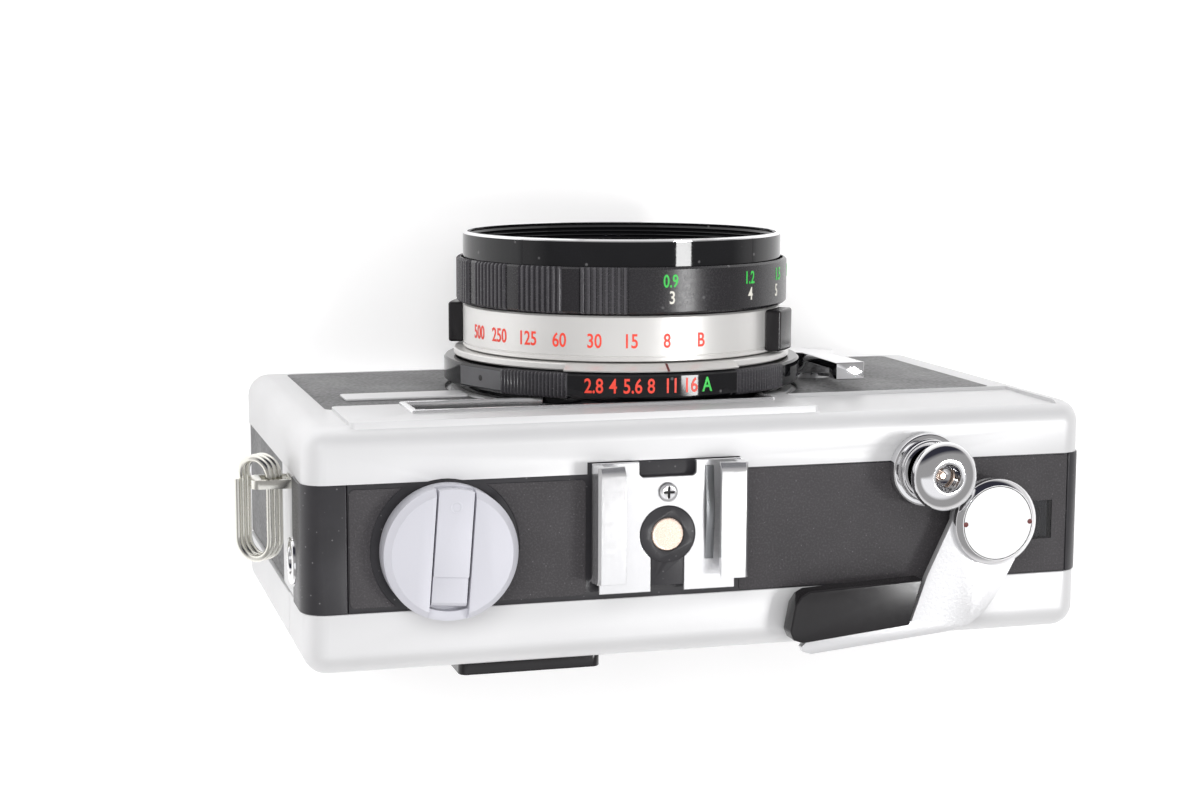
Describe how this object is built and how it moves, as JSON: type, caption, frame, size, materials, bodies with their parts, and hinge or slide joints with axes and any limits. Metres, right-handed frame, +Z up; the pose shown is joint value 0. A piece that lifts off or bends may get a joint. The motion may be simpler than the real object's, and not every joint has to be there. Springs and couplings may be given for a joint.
{
  "type": "compact rangefinder camera",
  "caption": "Compact fixed-lens rangefinder film camera: silver shells around a black band, ringed lens, wind lever, rewind crank, accessory shoe and hinged back.",
  "frame": {"origin": "centre of the tripod socket's mouth, on the base plane and the body's centreline", "axes": "+Z up through the top plate, the lens looks along -Y, +X towards the rewind knob (the user's left)"},
  "size_m": [0.1189, 0.0581, 0.071],
  "materials": {
    "satin_silver": "satin painted silver",
    "polished_chrome": "mirror",
    "satin_chrome": "satin, bevels polished",
    "band_black": "fine grain, matte",
    "gloss_black": "semi-gloss",
    "lens_black": "gloss black anodised",
    "chassis_black": "wrinkle black",
    "leatherette": "pebbled",
    "clear_glass": "clear",
    "coated_glass": "blue-violet coating",
    "frosted_window": "frosted",
    "copper": "turned",
    "steel": "bright",
    "spring_steel": "dull",
    "name_plate": "satin, blank",
    "scale_paint": "filled engraving, red, green or white"
  },
  "bodies": {
    "camera_body": {"front_cover": "satin_silver", "window_frame": "polished_chrome", "window_glass": "clear_glass", "frame_light_window": "frosted_window", "front_leatherettes": "leatherette", "info_plate": "name_plate", "body_frame": "chassis_black", "cartridge_shell": "chassis_black", "top_plate": "band_black", "end_caps": "band_black", "side_strips": "satin_silver", "side_leatherettes": "leatherette", "rear_cover": "satin_silver", "eyepiece_frame": "gloss_black", "eyepiece_glass": "clear_glass", "base_plate": "satin_silver", "tripod_socket": "steel", "battery": "steel", "viewfinder_block": "gloss_black", "accessory_shoe": "polished_chrome", "shoe_insulator": "gloss_black", "shoe_contact": "copper", "shoe_spring": "spring_steel", "shoe_screw": "polished_chrome", "button_collar": "polished_chrome", "counter_window": "clear_glass", "sync_socket": "polished_chrome", "strap_lug": "steel", "lens_base": "lens_black", "index_ring": "satin_chrome", "rear_element": "coated_glass", "iris_plate": "lens_black", "door_hinge_pin": "steel"},
    "wind_lever": {"wind_lever": "satin_chrome", "wind_grip": "gloss_black", "wind_cap": "satin_chrome"},
    "counter_dial": {"counter_dial": "gloss_black"},
    "takeup_spool": {"takeup_spool": "gloss_black"},
    "sprocket_wheel": {"sprocket_wheel": "gloss_black"},
    "shutter_button": {"shutter_button": "polished_chrome"},
    "shutter_blade_left": {"shutter_blade_left": "spring_steel"},
    "shutter_blade_right": {"shutter_blade_right": "spring_steel"},
    "rewind_sleeve": {"rewind_sleeve": "steel"},
    "rewind_knob": {"rewind_shaft": "steel", "rewind_knob": "satin_chrome"},
    "rewind_crank": {"rewind_crank": "satin_chrome"},
    "back_door": {"back_door": "satin_silver", "back_leatherette": "leatherette"},
    "pressure_plate": {"pressure_plate": "chassis_black", "pressure_spring": "spring_steel"},
    "aperture_ring": {"aperture_ring": "lens_black"},
    "shutter_ring": {"shutter_ring": "satin_chrome", "shutter_ring_grips": "gloss_black"},
    "focus_ring": {"focus_ring": "lens_black"},
    "front_barrel": {"front_barrel": "lens_black", "front_element": "coated_glass"},
    "self_timer_lever": {"self_timer_lever": "polished_chrome"},
    "battery_cover": {"battery_cover": "satin_chrome"},
    "rewind_release_button": {"rewind_release_button": "steel"},
    "split_ring": {"split_ring": "steel"}
  },
  "joints": [
    {"name": "wind_lever_hinge", "type": "hinge", "parent": "camera_body", "child": "wind_lever", "pos_m": [-0.0402, 0, 0.0653], "axis": [0, 0, 1], "range_deg": [0, 130], "stiffness_Nm_per_rad": 0.008, "springref_deg": -34.38},
    {"name": "counter_turn", "type": "hinge", "parent": "camera_body", "child": "counter_dial", "pos_m": [-0.0402, 0, 0.06], "axis": [0, 0, 1], "range_deg": [0, 10]},
    {"name": "takeup_turn", "type": "hinge", "parent": "camera_body", "child": "takeup_spool", "pos_m": [-0.0424, -0.001, 0.028], "axis": [0, 0, 1], "range_deg": [0, 316]},
    {"name": "sprocket_turn", "type": "hinge", "parent": "camera_body", "child": "sprocket_wheel", "pos_m": [-0.0239, 0.00145, 0.028], "axis": [0, 0, 1], "range_deg": [0, 362]},
    {"name": "shutter_press", "type": "slide", "parent": "camera_body", "child": "shutter_button", "axis": [0, 0, -1], "range_m": [0, 0.0018], "stiffness_N_per_m": 300, "springref_m": -0.002},
    {"name": "blade_left_swing", "type": "hinge", "parent": "camera_body", "child": "shutter_blade_left", "pos_m": [0.016, -0.0164, 0.028], "axis": [0, 1, 0], "range_deg": [0, 50]},
    {"name": "blade_right_swing", "type": "hinge", "parent": "camera_body", "child": "shutter_blade_right", "pos_m": [-0.01, -0.0172, 0.028], "axis": [0, 1, 0], "range_deg": [0, 50]},
    {"name": "rewind_turn", "type": "hinge", "parent": "camera_body", "child": "rewind_sleeve", "pos_m": [0.0371, 0.0004, 0.06], "axis": [0, 0, 1], "continuous": true},
    {"name": "rewind_lift", "type": "slide", "parent": "rewind_sleeve", "child": "rewind_knob", "axis": [0, 0, 1], "range_m": [0, 0.008]},
    {"name": "crank_fold", "type": "hinge", "parent": "rewind_knob", "child": "rewind_crank", "pos_m": [0.03757, 0.00658, 0.06625], "axis": [-0.9972, 0.075, 0], "range_deg": [0, 130]},
    {"name": "focus_turn", "type": "hinge", "parent": "camera_body", "child": "focus_ring", "pos_m": [0.003, -0.03, 0.028], "axis": [0, -1, 0], "range_deg": [-127, 0]},
    {"name": "focus_travel", "type": "slide", "parent": "camera_body", "child": "front_barrel", "axis": [0, -1, 0], "range_m": [-0.0018, 0]},
    {"name": "shutter_speed_turn", "type": "hinge", "parent": "camera_body", "child": "shutter_ring", "pos_m": [0.003, -0.03, 0.028], "axis": [0, -1, 0], "range_deg": [-12.5, 75]},
    {"name": "aperture_turn", "type": "hinge", "parent": "camera_body", "child": "aperture_ring", "pos_m": [0.003, -0.03, 0.028], "axis": [0, -1, 0], "range_deg": [-11.5, 24]},
    {"name": "self_timer_turn", "type": "hinge", "parent": "camera_body", "child": "self_timer_lever", "pos_m": [-0.0284, -0.018, 0.0245], "axis": [0, -1, 0], "range_deg": [0, 100]},
    {"name": "back_door_hinge", "type": "hinge", "parent": "camera_body", "child": "back_door", "pos_m": [-0.0537, 0.0152, 0.024], "axis": [0, 0, 1], "range_deg": [0, 120]},
    {"name": "pressure_plate_float", "type": "slide", "parent": "back_door", "child": "pressure_plate", "axis": [0, 1, 0], "range_m": [0, 0.0006], "stiffness_N_per_m": 1500, "springref_m": -0.001},
    {"name": "battery_cover_out", "type": "slide", "parent": "camera_body", "child": "battery_cover", "axis": [0, 0, -1], "range_m": [0, 0.006]},
    {"name": "rewind_release_press", "type": "slide", "parent": "camera_body", "child": "rewind_release_button", "axis": [0, 0, 1], "range_m": [0, 0.001], "stiffness_N_per_m": 250, "springref_m": -0.002},
    {"name": "split_ring_swing", "type": "hinge", "parent": "camera_body", "child": "split_ring", "pos_m": [0.05765, -0.007, 0.0481], "axis": [0, 1, 0], "range_deg": [-25, 25]}
  ],
  "couplings": [
    {"joint": "counter_turn", "follows": "wind_lever_hinge", "ratio": 0.07692},
    {"joint": "takeup_turn", "follows": "wind_lever_hinge", "ratio": 2.43},
    {"joint": "sprocket_turn", "follows": "wind_lever_hinge", "ratio": 2.77},
    {"joint": "focus_turn", "follows": "focus_travel", "rad_per_m": 1231.4},
    {"joint": "blade_left_swing", "follows": "shutter_press", "rad_per_m": 483.84},
    {"joint": "blade_right_swing", "follows": "shutter_press", "rad_per_m": 483.84}
  ]
}
